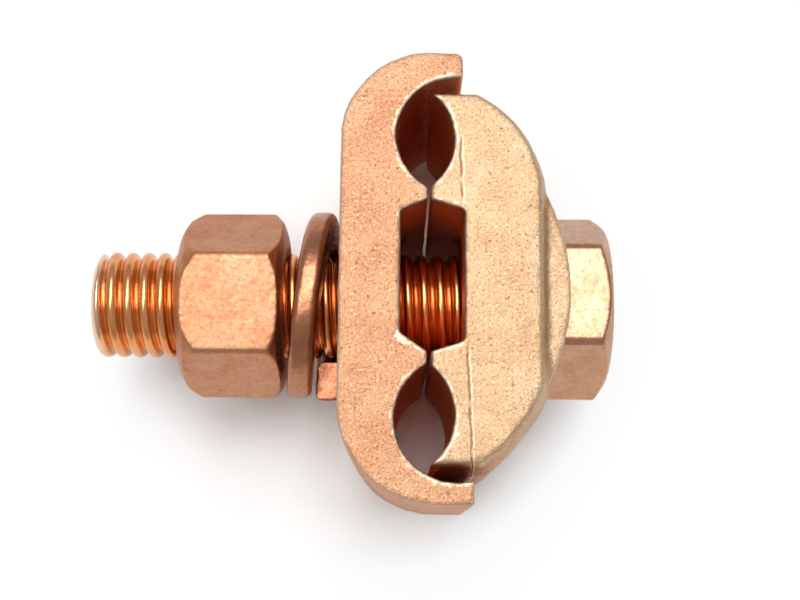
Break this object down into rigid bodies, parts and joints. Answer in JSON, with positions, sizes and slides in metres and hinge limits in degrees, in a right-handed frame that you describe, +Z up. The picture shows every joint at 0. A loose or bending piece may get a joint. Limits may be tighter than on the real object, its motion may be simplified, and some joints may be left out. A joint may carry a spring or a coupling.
{
  "type": "parallel groove clamp",
  "caption": "Copper parallel groove clamp that joins two conductors side by side between cast jaws drawn together by a bolt, a nut and a spring washer.",
  "frame": {"origin": "under the middle of the whole clamp, on the surface that its back faces lie on", "axes": "+X along the bolt from the nut to the head, +Y along the jaws towards the shorter lip, +Z up from the faces it lies on, along the conductors"},
  "size_m": [0.0472, 0.0396, 0.024],
  "materials": {
    "hook_casting": "sand cast copper, tumbled bright, fine grain and pits",
    "bolt_casting": "sand cast copper, tumbled bright, pale gold tone",
    "bolt_metal": "satin copper with a bright thread",
    "nut_metal": "satin copper with small dents",
    "washer_metal": "satin copper, rolled"
  },
  "bodies": {
    "bolt_side": {"bolt_jaw": "bolt_casting", "hex_bolt": "bolt_metal"},
    "hook_side": {"hook_jaw": "hook_casting", "spring_washer": "washer_metal"},
    "nut": {"hex_nut": "nut_metal"}
  },
  "joints": [
    {"name": "jaw_open", "type": "slide", "parent": "bolt_side", "child": "hook_side", "axis": [-1, 0, 0], "range_m": [0, 0.0075]},
    {"name": "nut_turn", "type": "hinge", "parent": "hook_side", "child": "nut", "pos_m": [-0.011, -0.0009, 0.012], "axis": [-1, 0, 0], "range_deg": [0, 1800]}
  ],
  "couplings": [
    {"joint": "nut_turn", "follows": "jaw_open", "rad_per_m": 4188.8}
  ]
}
